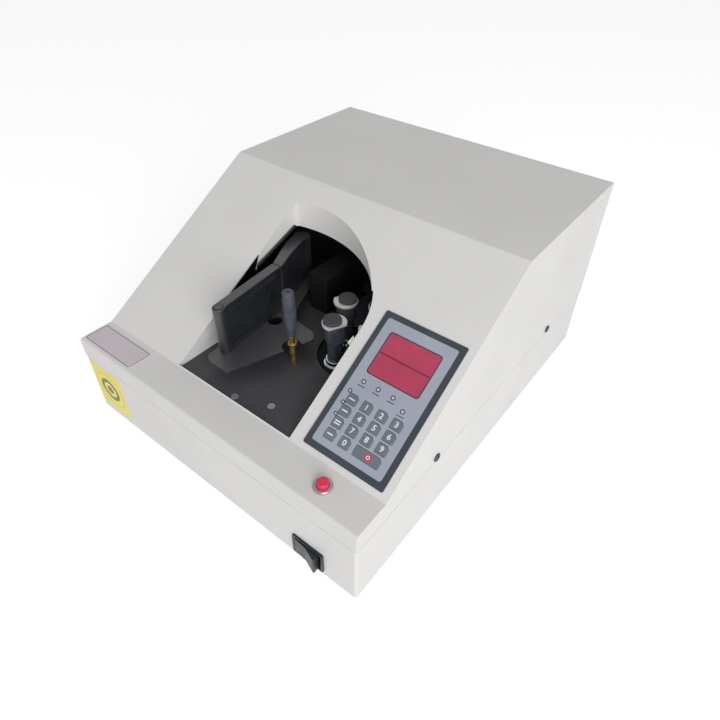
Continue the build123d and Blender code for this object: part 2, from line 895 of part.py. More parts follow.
def rail_frame():
    length, turn = between(pin_x, pin_y, rail_end_x, rail_end_y)
    return length, Pos(pin_x, pin_y, 0) * Rot(0, 0, turn)


def clamp_block():
    length, place = rail_frame()
    front = [place * Pos(length + arm_gap, aside, 0) for aside in (arm_front_inner, -arm_front_outer)]
    corners = [(spot.position.X, spot.position.Y) for spot in front]
    face = polygon([*corners, *arm_right, *arm_left])
    face = fillet(face.vertices(), arm_round)
    arm = prism(face, clamp_plate_top, arm_top)
    arm = chamfer(arm.faces().sort_by(Axis.Z)[-1].edges(), rail_round)
    shaft_low = clamp_bush_low - 4
    return arm + rod(clamp_pivot_x, clamp_pivot_y, shaft_low, clamp_plate_top + 4, clamp_shaft_radius)


def clamp_collar():
    low = deck_top + 0.3
    high = clamp_plate_top - clamp_plate_sheet
    return ring(clamp_pivot_x, clamp_pivot_y, low, high, clamp_thrust_radius, clamp_shaft_radius)


def clamp_rail():
    length, place = rail_frame()
    low = clamp_plate_top + rail_gap
    bar = block(0, length, post_radius - rail_width, post_radius, low, rail_top)
    bar += rod(0, 0, low, rail_top, post_radius)
    bar = fillet(bar.faces().sort_by(Axis.Z)[-1].edges(), rail_round)
    bar -= rod(0, 0, 0, rail_top + 5, pin_radius + running_clearance)
    bar -= Pos(0, 0, rail_top - 0.4) * Cone(pin_radius, pin_radius + 0.9, 0.9)
    return place * bar


def clamp_jaw():
    length, place = rail_frame()
    side = rail_width - post_radius
    end = length - jaw_end_gap
    outline = polygon(
        [
            (jaw_start, jaw_low),
            (jaw_heel, jaw_low),
            (jaw_heel + 3.0, jaw_low + 12.5),
            (jaw_heel + 9.3, jaw_low + 21.0),
            (jaw_heel + 15.4, jaw_high - jaw_tip - 1.5),
            (end, jaw_high - jaw_tip),
            (end, jaw_high),
            (jaw_start, jaw_high),
        ]
    )
    inner = offset(outline, -jaw_rim, kind=Kind.INTERSECTION)
    jaw = extrude(Plane.XZ.offset(side) * outline, jaw_thickness)
    jaw -= extrude(Plane.XZ.offset(side + jaw_thickness - jaw_recess) * inner, jaw_thickness)
    jaw -= rod(0, 0, 0, rail_top, post_radius + 0.1)
    floor = Plane.XZ.offset(side + jaw_thickness - jaw_recess)
    for along, up in ((39.5, 31.6), (40.6, 11.7), (59.0, 31.4)):
        rim = Circle(2.6) - Circle(1.3)
        jaw += extrude(floor * Pos(along, jaw_low + up) * rim, 0.5)
    jaw -= extrude(floor * Pos(51.0, jaw_low + 22.5) * Circle(5.0), -0.6)
    return place * jaw


def clamp_actuator():
    rear = actuator_y + actuator_depth
    box = block(actuator_x, actuator_x + actuator_width, actuator_y, rear, deck_top, actuator_top)
    box = fillet(box.edges().filter_by(Axis.Z), 1.5)
    right = actuator_x + actuator_width
    return box + block(right - 2, right + 9, actuator_y + 8, rear - 8, deck_top, deck_top + 2.5)


# ---- guide roller --------------------------------------------------------------------------------
def guide_stud():
    stud = rod(stud_x, stud_y, deck_top, stud_collar_low, stud_radius)
    collar = rod(stud_x, stud_y, stud_collar_low, stud_collar_high, stud_collar_radius)
    stud += chamfer(collar.edges().filter_by(GeomType.CIRCLE), 0.6)
    stud += rod(stud_x, stud_y, stud_collar_high, roller_low - 0.3, stud_neck_radius)
    stud += rod(stud_x, stud_y, roller_low - 0.3, roller_top - 5, stud_pin_radius)
    stud += rod(stud_x, stud_y, deck_under - 9, deck_top, stud_pin_radius)
    nut = Pos(stud_x, stud_y, deck_under - 4) * extrude(RegularPolygon(4.2, 6), 4)
    return stud + nut


def guide_roller():
    low = (roller_low_radius, roller_low)
    middle = (roller_mid_radius, roller_mid)
    top = (roller_top_radius, roller_top - 0.8)
    side = Spline(low, middle, top)
    outline = [
        *Polyline((0, roller_low), low).edges(),
        *side.edges(),
        *Polyline(top, (roller_top_radius - 0.8, roller_top), (0, roller_top), (0, roller_low)).edges(),
    ]
    sleeve = revolve(Plane.XZ * make_face(outline), Axis.Z)
    sleeve = Pos(stud_x, stud_y, 0) * sleeve
    sleeve -= rod(stud_x, stud_y, 0, roller_top - 4.5, stud_pin_radius + running_clearance)
    return sleeve - rod(stud_x, stud_y, 0, roller_top + 1, 1.1)


# ---- keypad --------------------------------------------------------------------------------------
def key_outline(width, grow):
    """Key cap with its top right corner clipped, drawn out by grow."""
    x = width / 2 + grow
    s = key_length / 2 + grow
    face = polygon([(-x, -s), (x, -s), (x, s - key_clip), (x - key_clip, s), (-x, s)])
    return fillet(face.vertices(), key_round)


def key_places():
    """Name, x, s and width of each key."""
    places = []
    for row, names in enumerate((("7", "8", "9"), ("4", "5", "6"), ("1", "2", "3"))):
        for column, name in enumerate(names):
            x = key_left + (column + 1) * key_pitch_x
            places.append((f"key_{name}", x, key_low + (row + 1) * key_pitch_s, key_width))
    places.append(("key_0", key_left + key_pitch_x, key_low, key_width))
    clear_width = key_width + key_pitch_x
    places.append(("key_clear", key_left + 2.5 * key_pitch_x, key_low, clear_width))
    for row, name in enumerate(("key_mode", "key_batch", "key_add", "key_start")):
        places.append((name, key_left, key_low + row * key_pitch_s, key_width))
    return places


def led_places():
    """x, s and radius of each indicator lamp."""
    places = [(key_left + index * key_pitch_x, led_row, led_radius) for index in range(3)]
    places.append((led_stamp_x, led_stamp_s, led_radius))
    for row in (1, 2, 3):
        x = key_left - key_width / 2 - 1.1
        s = key_low + row * key_pitch_s + key_length / 2 + 1.1
        places.append((x, s, small_led_radius))
    return places


def sloped(face, x, s, low, high):
    """Extrude a flat outline placed at (x, s) on the slope, from low to high above it."""
    return slope * (Pos(x, s, low) * extrude(face, high - low))


def window_outline(grow):
    return RectangleRounded(window_width + 2 * grow, window_length + 2 * grow, window_round)


def window_centre():
    return window_left + window_width / 2, window_low + window_length / 2


def keypad_panel():
    x = panel_left + panel_width / 2
    s = panel_low + panel_length / 2
    panel = sloped(RectangleRounded(panel_width, panel_length, 1.5), x, s, 0, panel_thickness)
    for name, key_x, key_s, width in key_places():
        panel -= sloped(key_outline(width, key_clearance), key_x, key_s, -1, panel_thickness + 1)
    for led_x, led_s, radius in led_places():
        panel -= sloped(Circle(radius + led_clearance), led_x, led_s, -1, panel_thickness + 1)
    return panel - sloped(window_outline(0.1), *window_centre(), -1, panel_thickness + 1)


def keypad_key(x, s, width):
    key = sloped(key_outline(width, 0), x, s, -key_sunk, panel_thickness + key_proud)
    top = key.faces().sort_by(Axis(origin=(0, 0, 0), direction=slope.z_dir))[-1]
    return chamfer(top.edges(), 0.3)


def keypad_board():
    left = panel_left + board_margin
    right = panel_left + panel_width - board_margin
    low = panel_low + board_margin
    high = panel_low + panel_length - board_margin
    board = on_slope(left, right, low, high, -board_depth - board_thickness, -board_depth)
    for x in (left + 1.8, right - 1.8):
        for s in (low + 2, high - 2):
            board += sloped(Circle(1.8), x, s, -board_depth, 0)
    switch_top = -key_sunk - key_travel - 0.1
    for name, x, s, width in key_places():
        board += sloped(Rectangle(6, 6), x, s, -board_depth, switch_top - 0.8)
        board += sloped(Circle(1.7), x, s, -board_depth, switch_top)
    return board


def display_digits():
    x, s = window_centre()
    blocks = []
    for side in (-1, 1):
        middle = s + side * (digit_block_length / 2 + 0.2)
        face = Rectangle(digit_block_width, digit_block_length)
        blocks.append(sloped(face, x, middle, -board_depth, -board_depth + digit_block_depth))
    return blocks


def indicator_leds():
    lamps = []
    for x, s, radius in led_places():
        lamp = sloped(Circle(radius), x, s, -board_depth, panel_thickness + 0.3)
        lamps.append(lamp)
    return lamps


# ---- push button and rocker switch ---------------------------------------------------------------
def button_bezel():
    bezel = rod(button_x, button_y, front_height, front_height + bezel_height, bezel_radius)
    bezel = chamfer(bezel.edges().sort_by(Axis.Z)[-1], 0.8)
    body_low = front_height - button_body_depth
    bezel += rod(button_x, button_y, body_low, front_height, button_body_radius)
    stop = front_height - button_body_depth + 2
    return bezel - rod(button_x, button_y, stop, front_height + 10, bezel_bore)


def button_plunger():
    low = front_height - button_body_depth + 2 + button_travel + 0.3
    cap = rod(button_x, button_y, low, front_height + button_height, button_radius)
    return fillet(cap.edges().sort_by(Axis.Z)[-1], 1.2)


def rocker_frame():
    half_x = rocker_width / 2
    half_z = rocker_height / 2
    frame = block(rocker_x - half_x, rocker_x + half_x, -rocker_rim, 0, rocker_z - half_z, rocker_z + half_z)
    frame = fillet(frame.edges().filter_by(Axis.Y), 1.5)
    body_x = half_x - rocker_wall - 0.2
    body_z = half_z - 1.2
    frame += block(
        rocker_x - body_x, rocker_x + body_x, -1, rocker_depth, rocker_z - body_z, rocker_z + body_z
    )
    cavity_x = paddle_half + 1.2
    cavity_z = paddle_height / 2 + 0.3
    frame -= block(
        rocker_x - cavity_x,
        rocker_x + cavity_x,
        -rocker_rim - 1,
        rocker_depth - 6,
        rocker_z - cavity_z,
        rocker_z + cavity_z,
    )
    socket = trunnion_radius + running_clearance
    reach = cavity_z + 0.9
    return frame - rod(rocker_x, paddle_pivot_depth, rocker_z - reach, rocker_z + reach, socket)


def rocker_paddle():
    outline = [
        (-paddle_half, -paddle_reach),
        (0, -paddle_reach + paddle_dish),
        (paddle_half, -paddle_reach),
        (paddle_half - 1.5, 1.0),
        (3, 4.5),
        (-3, 4.5),
        (-paddle_half + 1.5, 1.0),
    ]
    face = polygon(outline)
    face = fillet(face.vertices().sort_by(Axis.Y)[:2], 0.8)
    paddle = prism(face, -paddle_height / 2, paddle_height / 2)
    paddle += rod(0, 0, -paddle_height / 2 - 1.1, paddle_height / 2 + 1.1, trunnion_radius)
    return Pos(rocker_x, paddle_pivot_depth, rocker_z) * Rot(0, 0, -paddle_tilt) * paddle


def badge_plate():
    plate = RectangleRounded(badge_width, badge_depth, 2.5)
    place = Pos(badge_left + badge_width / 2, badge_front + badge_depth / 2, 0)
    badge = place * prism(plate, front_height, front_height + badge_thickness)
    return chamfer(badge.faces().sort_by(Axis.Z)[-1].edges(), 0.3)


def round_sticker():
    right = sticker_left + sticker_width
    high = sticker_low + sticker_height
    return block(sticker_left + bend_radius, right, -sticker_thickness, 0, sticker_low, high)


# ---- write every node ----------------------------------------------------------------------------
# The machine reaches from the raised end of the rocker paddle to the flange of the mains inlet, and
# the origin lies half way between them.
origin_y = (rocker_paddle().bounding_box().min.Y + case_depth + inlet_flange) / 2
os.makedirs("parts", exist_ok=True)
save("base_tray", base_tray())
save("top_cover", top_cover())
save("recess_liner", *recess_liner())
save("deck_plate", deck_plate())
save("chamber_wall", chamber_wall())
save("rubber_feet", *rubber_feet())
save("screws", *screws())
save("turret_housing", turret_housing())
save("sun_gear", sun_gear())
save("turret_drum", turret_drum())
save("spindle_collars", *[spindle_collar(x, y) for angle, flat, x, y in spindle_places()])
for number, (angle, flat, x, y) in enumerate(spindle_places(), start=1):
    save(f"spindle_{number}", spindle(angle, flat, x, y))
    save(f"spindle_cap_{number}", spindle_cap(flat, x, y))
save("drive_motor", drive_motor())
save("motor_pulley", motor_pulley())
save("drive_belt", drive_belt())
save("vacuum_pump", vacuum_pump())
save("vacuum_hose", vacuum_hose())
save("power_supply", power_supply())
save("control_board", control_board())
save("mains_inlet", mains_inlet())
save("clamp_plate", clamp_plate())
save("clamp_block", clamp_block(), clamp_collar())
save("clamp_rail", clamp_rail())
save("clamp_jaw", clamp_jaw())
save("clamp_actuator", clamp_actuator())
save("guide_stud", guide_stud())
save("guide_roller", guide_roller())
save("keypad_panel", keypad_panel())
save("keypad_board", keypad_board())
save("display_digits", *display_digits())
save("display_window", sloped(window_outline(0), *window_centre(), 0, panel_thickness))
save("indicator_leds", *indicator_leds())
for name, x, s, width in key_places():
    save(name, keypad_key(x, s, width))
save("button_bezel", button_bezel())
save("button_plunger", button_plunger())
save("rocker_frame", rocker_frame())
save("rocker_paddle", rocker_paddle())
save("badge_plate", badge_plate())
save("round_sticker", round_sticker())
print("spindle ring radius", round(spindle_ring, 2), "slope angle", round(slope_angle, 2))
print("origin lies", round(origin_y, 2), "mm behind the front face")
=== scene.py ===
# %% [markdown]
# # A desktop counter for bundles of banknotes
# The CAD model holds every piece at its real size, so it is loaded first as a fixed frame. All the rest of
# this lesson gives those pieces their finishes, adds the thin printed and moulded details that CAD leaves
# out, and lights the result like a plain studio shot.

import json
import math

import bpy
from mathutils import Matrix, Vector


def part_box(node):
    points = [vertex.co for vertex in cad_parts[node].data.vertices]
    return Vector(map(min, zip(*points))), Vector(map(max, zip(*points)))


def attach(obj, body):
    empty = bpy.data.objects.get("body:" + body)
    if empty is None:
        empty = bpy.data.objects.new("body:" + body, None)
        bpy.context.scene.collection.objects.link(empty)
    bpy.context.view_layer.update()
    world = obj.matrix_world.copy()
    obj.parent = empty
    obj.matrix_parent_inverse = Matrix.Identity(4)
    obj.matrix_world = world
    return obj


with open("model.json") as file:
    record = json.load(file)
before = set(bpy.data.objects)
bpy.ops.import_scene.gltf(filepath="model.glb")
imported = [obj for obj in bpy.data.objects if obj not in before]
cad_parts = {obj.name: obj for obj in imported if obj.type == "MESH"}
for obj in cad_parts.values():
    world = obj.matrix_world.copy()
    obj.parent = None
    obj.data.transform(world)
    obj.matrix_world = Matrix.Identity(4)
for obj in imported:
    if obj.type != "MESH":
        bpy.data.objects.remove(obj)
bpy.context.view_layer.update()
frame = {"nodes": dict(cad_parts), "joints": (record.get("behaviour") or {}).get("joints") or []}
nodes = frame["nodes"]

# %% [markdown]
# Sizes on a machine like this are thought of in millimetres, while Blender works in metres. One name for
# the millimetre keeps both readable. Colours are picked as sRGB hex values, the way a paint chart gives
# them, and one function turns them into the linear values that the shaders need.

# %% Units and colours
MM = 0.001


def srgb(code):
    channels = [int(code[i : i + 2], 16) / 255 for i in (1, 3, 5)]
    linear = [c / 12.92 if c <= 0.04045 else ((c + 0.055) / 1.055) ** 2.4 for c in channels]
    return (*linear, 1.0)


# %% [markdown]
# A material is a small graph of nodes. A single helper adds any node, sets its properties and inputs, and
# joins the inputs that are given another node's output. Every material starts from the same principled
# shader with typical values for the real stuff, set on the shader's own inputs.

# %% Helpers for materials
def add(material, kind, inputs=None, **settings):
    made = material.node_tree.nodes.new(kind)
    for name, value in settings.items():
        setattr(made, name, value)
    for key, value in (inputs or {}).items():
        socket = made.inputs[key]
        if isinstance(value, bpy.types.NodeSocket):
            material.node_tree.links.new(value, socket)
        else:
            socket.default_value = value
    return made


def start_material(name, colour, roughness, metallic=0.0, ior=None, **more):
    material = bpy.data.materials.new(name)
    material.use_nodes = True
    shader = material.node_tree.nodes["Principled BSDF"]
    shader.inputs["Base Color"].default_value = srgb(colour)
    shader.inputs["Roughness"].default_value = roughness
    shader.inputs["Metallic"].default_value = metallic
    if ior is not None:
        shader.inputs["IOR"].default_value = ior
    for key, value in more.items():
        shader.inputs[key.replace("_", " ")].default_value = value
    material.diffuse_color = srgb(colour)
    return material, shader


def surface_place(material):
    return add(material, "ShaderNodeTexCoord").outputs["Object"]


def link(material, source, target):
    material.node_tree.links.new(source, target)


# %% [markdown]
# Most surfaces need the same three things from noise: a slight change of tone, a slight change of gloss,
# and a fine relief. The feature size is given in millimetres, because a noise scale is the number of
# features in a metre.

# %% Tone, gloss and relief from noise
def vary_tone(material, shader, light, dark, size, detail=3.0, stretch=(1, 1, 1)):
    place = add(material, "ShaderNodeMapping", {"Vector": surface_place(material), "Scale": stretch})
    noise = add(
        material, "ShaderNodeTexNoise", {"Vector": place.outputs[0], "Scale": 1 / size, "Detail": detail}
    )
    ramp = add(material, "ShaderNodeValToRGB", {"Fac": noise.outputs[0]})
    ramp.color_ramp.elements[0].position = 0.3
    ramp.color_ramp.elements[0].color = srgb(dark)
    ramp.color_ramp.elements[1].position = 0.7
    ramp.color_ramp.elements[1].color = srgb(light)
    link(material, ramp.outputs[0], shader.inputs["Base Color"])
    return ramp


def vary_gloss(material, shader, low, high, size, stretch=(1, 1, 1)):
    place = add(material, "ShaderNodeMapping", {"Vector": surface_place(material), "Scale": stretch})
    noise = add(
        material, "ShaderNodeTexNoise", {"Vector": place.outputs[0], "Scale": 1 / size, "Detail": 4.0}
    )
    spread = add(
        material, "ShaderNodeMapRange", {"Value": noise.outputs[0], "From Min": 0.3, "From Max": 0.7}
    )
    spread.inputs["To Min"].default_value = low
    spread.inputs["To Max"].default_value = high
    link(material, spread.outputs[0], shader.inputs["Roughness"])
    return spread


def raise_relief(material, shader, size, depth, detail=2.0, stretch=(1, 1, 1)):
    place = add(material, "ShaderNodeMapping", {"Vector": surface_place(material), "Scale": stretch})
    noise = add(
        material, "ShaderNodeTexNoise", {"Vector": place.outputs[0], "Scale": 1 / size, "Detail": detail}
    )
    bump = add(
        material, "ShaderNodeBump", {"Height": noise.outputs[0], "Strength": 1.0, "Distance": depth}
    )
    link(material, bump.outputs[0], shader.inputs["Normal"])
    return bump


# %% [markdown]
# ## The painted casing
# The tray, the cover and the wall round the note bay are folded from 1.5 mm steel and powder coated in a
# warm off-white. Powder flows into a very slight orange peel about 1.6 mm wide, which breaks up the edge
# of any highlight, and leaves a low satin sheen.

# %% Powder coat
def powder_coat():
    material, shader = start_material("powder_coat_off_white", "#E4E3E1", 0.42, ior=1.5)
    vary_tone(material, shader, "#E6E5E3", "#E1E0DE", 90 * MM)
    vary_gloss(material, shader, 0.38, 0.48, 30 * MM)
    raise_relief(material, shader, 1.6 * MM, 0.012 * MM)
    return material


# %% [markdown]
# ## Black painted steel
# The deck and the walls round the bay are sprayed satin black. Notes and dust rub them, so the tone is a
# worn charcoal with long faint streaks. The clamp plate, rail and jaw carry a smoother black that reads a
# little blue, with a thin clear layer that picks up soft reflections. The faces of these pieces that look
# up are painted paler than their sides: a painted highlight where the light falls on their tops.

# %% Black finishes
def deck_paint():
    material, shader = start_material("satin_black_spray_paint", "#46454B", 0.5, ior=1.5)
    vary_tone(material, shader, "#4E4D53", "#3D3C42", 45 * MM, stretch=(1, 0.4, 1))
    vary_gloss(material, shader, 0.42, 0.6, 12 * MM)
    raise_relief(material, shader, 0.9 * MM, 0.01 * MM)
    return material


def chamber_shade_paint():
    # Black paint made darker than any paint, so that it also stands in as painted shade for the dark inside
    # of the bay.
    material, shader = start_material("matt_black_primer_with_painted_shade", "#060908", 0.75, ior=1.45)
    vary_tone(material, shader, "#0A0D0C", "#040605", 30 * MM)
    raise_relief(material, shader, 1.2 * MM, 0.02 * MM)
    return material


def paint_upward_highlight(material, shader, ramp, highlight_colour):
    """Paint a highlight on the faces that look up, whatever their place."""
    facing = add(
        material, "ShaderNodeSeparateXYZ", {"Vector": add(material, "ShaderNodeTexCoord").outputs["Normal"]}
    )
    highlight_amount = add(
        material,
        "ShaderNodeMapRange",
        {"Value": facing.outputs["Z"], "From Min": 0.6, "From Max": 0.95, "To Min": 0.0, "To Max": 0.85},
    )
    mix = add(
        material,
        "ShaderNodeMix",
        {"Factor": highlight_amount.outputs[0], 6: ramp.outputs[0], 7: srgb(highlight_colour)},
        data_type="RGBA",
    )
    link(material, mix.outputs[2], shader.inputs["Base Color"])


def clamp_enamel():
    material, shader = start_material(
        "stoved_black_enamel", "#25262A", 0.38, ior=1.5, Coat_Weight=0.9, Coat_Roughness=0.28
    )
    ramp = vary_tone(material, shader, "#2D2E33", "#1E1F22", 28 * MM)
    vary_gloss(material, shader, 0.3, 0.48, 9 * MM)
    # The paler colour on upward faces is a painted highlight.
    paint_upward_highlight(material, shader, ramp, "#4A494C")
    raise_relief(material, shader, 1.1 * MM, 0.012 * MM)
    return material


def jaw_rubber():
    material, shader = start_material("moulded_nitrile_pad", "#1B2126", 0.55, ior=1.52)
    vary_tone(material, shader, "#20272C", "#151A1E", 16 * MM)
    raise_relief(material, shader, 0.7 * MM, 0.02 * MM)
    return material


# %% [markdown]
# Some CAD nodes carry two finishes that change at one height. Their shaders compare the height of each
# point with that height and choose between two colours, so the CAD mesh stays whole. The screws are one
# such node: those of the sides are blackened, and those of the deck above them are zinc plated.

# %% Two finishes on one node
def above(material, height):
    split = add(material, "ShaderNodeSeparateXYZ", {"Vector": surface_place(material)})
    return add(
        material, "ShaderNodeMath", {0: split.outputs["Z"], 1: height}, operation="GREATER_THAN"
    ).outputs[0]


def two_tones(material, noise, dark, light):
    ramp = add(material, "ShaderNodeValToRGB", {"Fac": noise.outputs[0]})
    ramp.color_ramp.elements[0].color = srgb(dark)
    ramp.color_ramp.elements[1].color = srgb(light)
    return ramp.outputs[0]


def either(material, over, low, high):
    mix = add(material, "ShaderNodeMix", {"Factor": over, 6: low, 7: high}, data_type="RGBA")
    return mix.outputs[2]


def step_value(material, over, low, high):
    return add(
        material, "ShaderNodeMapRange", {"Value": over, "To Min": low, "To Max": high}
    ).outputs[0]


# %% [markdown]
# ## Turned metals
# Turned parts keep rings from the tool. Object space along the axis gives them: a fine wave along Z tilts
# the surface a little, so highlights stretch around the part. Real tool marks are under 0.1 mm apart, too
# fine to show here, so they are drawn about 0.5 mm apart. Metals keep the shader's default IOR.

# %% Turned metals
def turned_metal(name, colour, roughness, pitch=0.5 * MM, depth=0.004 * MM):
    material, shader = start_material(name, colour, roughness, metallic=1.0)
    rings = add(
        material,
        "ShaderNodeTexWave",
        {"Vector": surface_place(material), "Scale": 0.314 / pitch, "Distortion": 0.6, "Detail": 2.0},
        wave_type="BANDS",
        bands_direction="Z",
    )
    bump = add(
        material, "ShaderNodeBump", {"Height": rings.outputs["Fac"], "Strength": 1.0, "Distance": depth}
    )
    link(material, bump.outputs[0], shader.inputs["Normal"])
    vary_gloss(material, shader, roughness * 0.8, roughness * 1.35, 6 * MM)
    return material, shader


def polished_chrome():
    material, shader = turned_metal("bright_chrome_plate", "#E2E4E6", 0.09)
    vary_tone(material, shader, "#E8EAEC", "#D2D4D6", 8 * MM)
    return material


def turned_steel():
    material, shader = turned_metal("turned_mild_steel", "#A9ABAD", 0.3)
    vary_tone(material, shader, "#B4B6B8", "#96989A", 12 * MM)
    return material


def turned_brass():
    material, shader = turned_metal("turned_brass_rod", "#BFA766", 0.42)
    vary_tone(material, shader, "#C8B070", "#9E8950", 5 * MM)
    return material


DECK_SCREW_HEIGHT = 93 * MM


def pressed_screw():
    material, shader = turned_metal("zinc_and_black_screw_steel", "#6A6C6E", 0.4)
    over = above(material, DECK_SCREW_HEIGHT)
    noise = add(material, "ShaderNodeTexNoise", {"Vector": surface_place(material), "Scale": 1 / (2 * MM)})
    black = two_tones(material, noise, "#4A4C4F", "#5F6164")
    zinc = two_tones(material, noise, "#B4B5B8", "#D0D1D4")
    link(material, either(material, over, black, zinc), shader.inputs["Base Color"])
    return material


# %% [markdown]
# ## The suction spindles
# Each spindle is one turned part: a black, highly polished shaft under a pale plated head plate. The shaft
# is given a mid blue-grey instead of black, a painted reflection of the light along it. The two finishes
# change at the underside of the head plate.

# %% Spindle finish
HEAD_PLATE = 2.5 * MM
spindle_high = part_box("spindle_1")[1]
rim_height = spindle_high.z - HEAD_PLATE


def spindle_finish():
    material, shader = start_material("polished_black_oxide_painted_reflection_and_nickel", "#5A626C", 0.3, metallic=0.6)
    over = above(material, rim_height)
    noise = add(
        material,
        "ShaderNodeTexNoise",
        {"Vector": surface_place(material), "Scale": 1 / (9 * MM), "Detail": 3.0},
    )
    # The shaft's blue-grey, paler than black oxide, is a painted reflection.
    black = two_tones(material, noise, "#565E68", "#828B96")
    nickel = two_tones(material, noise, "#D5D1C9", "#ECE9E2")
    link(material, either(material, over, black, nickel), shader.inputs["Base Color"])
    link(material, step_value(material, over, 0.6, 0.35), shader.inputs["Metallic"])
    link(material, step_value(material, over, 0.26, 0.3), shader.inputs["Roughness"])
    return material


# %% [markdown]
# ## Rubber and plastics
# The caps, feet, belt and hose are black rubber in several grades, all matt with a fine dusty mottle. The
# guide roller is a machined grey nylon. The rocker switch and the mains inlet are moulded in black with a
# fine spark-eroded grain of about 0.4 mm, drawn at 0.8 mm so that it shows.

# %% Rubber and plastics
def rubber(name, light, dark, grain=0.8 * MM):
    material, shader = start_material(name, light, 0.72, ior=1.52)
    vary_tone(material, shader, light, dark, 5 * MM)
    raise_relief(material, shader, grain, 0.02 * MM)
    return material


def moulded_plastic(name, light, dark, roughness, grain=0.8 * MM, depth=0.012 * MM, **more):
    material, shader = start_material(name, light, roughness, ior=1.47, **more)
    vary_tone(material, shader, light, dark, 25 * MM)
    vary_gloss(material, shader, roughness * 0.85, roughness * 1.2, 10 * MM)
    raise_relief(material, shader, grain, depth)
    return material


def turned_nylon():
    material, shader = turned_metal("turned_grey_nylon", "#454A54", 0.45, pitch=0.8 * MM, depth=0.01 * MM)
    shader.inputs["Metallic"].default_value = 0.0
    shader.inputs["IOR"].default_value = 1.53
    vary_tone(material, shader, "#4E535E", "#3C4049", 9 * MM)
    return material


# %% [markdown]
# ## Sheet, film and print
# The keypad is a polyester film printed on its back, so its colours lie under a slightly grained clear
# face. The display window is a clear red filter. The badge is anodised aluminium brushed along its length
# and the sticker is printed vinyl.

# %% Films and prints
def printed_film(name, light, dark, roughness=0.4):
    material, shader = start_material(name, light, roughness, ior=1.57)
    vary_tone(material, shader, light, dark, 40 * MM)
    raise_relief(material, shader, 0.6 * MM, 0.006 * MM)
    return material


def red_filter():
    material, shader = start_material(
        "tinted_acrylic_red", "#BC385D", 0.16, ior=1.49, Coat_Weight=0.6, Coat_Roughness=0.08
    )
    vary_tone(material, shader, "#C43D63", "#B03255", 22 * MM)
    raise_relief(material, shader, 3 * MM, 0.01 * MM)
    return material


def brushed_badge():
    material, shader = start_material("brushed_anodised_aluminium", "#DCD2D9", 0.4, metallic=0.15)
    vary_tone(material, shader, "#E2D8DF", "#D6CCD3", 1.2 * MM, stretch=(0.03, 1, 1))
    vary_gloss(material, shader, 0.3, 0.45, 0.8 * MM, stretch=(0.03, 1, 1))
    return material


def circuit_board():
    material, shader = start_material("fibreglass_with_solder_mask", "#1F6B3C", 0.35, ior=1.55)
    vary_tone(material, shader, "#2A7A48", "#175330", 6 * MM)
    raise_relief(material, shader, 2.0 * MM, 0.05 * MM)
    return material


def blackened_disc():
    material, shader = turned_metal("blackened_turret_steel", "#232427", 0.5)
    shader.inputs["Metallic"].default_value = 0.6
    vary_tone(material, shader, "#28292C", "#1A1B1D", 14 * MM)
    return material


def cast_alloy():
    material, shader = start_material("die_cast_aluminium", "#9A9CA0", 0.5, metallic=1.0)
    vary_tone(material, shader, "#A6A8AC", "#8A8C90", 7 * MM)
    raise_relief(material, shader, 1.5 * MM, 0.05 * MM)
    return material


# %% [markdown]
# Each finish is made once and given to the CAD nodes that have it. A CAD node keeps its shape and its
# place; only the material in its slots changes.

# %% Give the CAD nodes their finishes
coat = powder_coat()
deck_black = deck_paint()
chamber_painted_shade_black = chamber_shade_paint()
enamel = clamp_enamel()
pad = jaw_rubber()
chrome = polished_chrome()
steel = turned_steel()
brass = turned_brass()
screw_steel = pressed_screw()
nylon = turned_nylon()
cap_rubber = rubber("turned_cap_rubber", "#4B4C51", "#3E3F44")
foot_rubber = rubber("moulded_foot_rubber", "#1D1D1E", "#141415")
belt_rubber = rubber("neoprene_belt_and_hose", "#222224", "#18181A")
switch_black = moulded_plastic("black_nylon_mouldings", "#2A3037", "#22272D", 0.38)
motor_paint = moulded_plastic("grey_hammer_paint", "#4A5058", "#3C4148", 0.4, grain=2 * MM, depth=0.05 * MM)
film_grey = printed_film("polyester_film_blue_grey", "#AAB1BE", "#A2A9B7")
key_grey = printed_film("embossed_film_slate", "#767D89", "#6B727D", 0.45)
border_ink = printed_film("polyester_film_slate_border", "#3E4652", "#373E49", 0.4)
white_ink = printed_film("white_legend_ink", "#F2F3F5", "#E6E7EA", 0.5)
dark_ink = printed_film("dark_legend_ink", "#3C424C", "#30353E", 0.5)
red_ink = printed_film("red_legend_ink", "#DD2D52", "#D02448", 0.4)
window_red = red_filter()
segment_tint = printed_film("unlit_segment_tint", "#C43E63", "#BC375B", 0.2)
segment_dark = printed_film("gap_between_digit_blocks", "#8E1B3E", "#7E1737", 0.2)
lamp_clear = moulded_plastic("water_clear_epoxy", "#D8DAD8", "#C6C9C6", 0.2, depth=0.004 * MM)
button_red = moulded_plastic("glossy_red_abs", "#EE3A60", "#E43057", 0.22, depth=0.006 * MM)
bezel_nickel = moulded_plastic("satin_nickel_plated_abs", "#BDB5B8", "#A8A0A3", 0.3, Metallic=0.5)
badge_metal = brushed_badge()
vinyl_yellow = printed_film("yellow_vinyl", "#F6E62E", "#F0DF22", 0.35)
vinyl_brown = printed_film("brown_print_on_vinyl", "#6B6240", "#5E5638", 0.4)
board_green = circuit_board()
alloy = cast_alloy()
turret_black = blackened_disc()

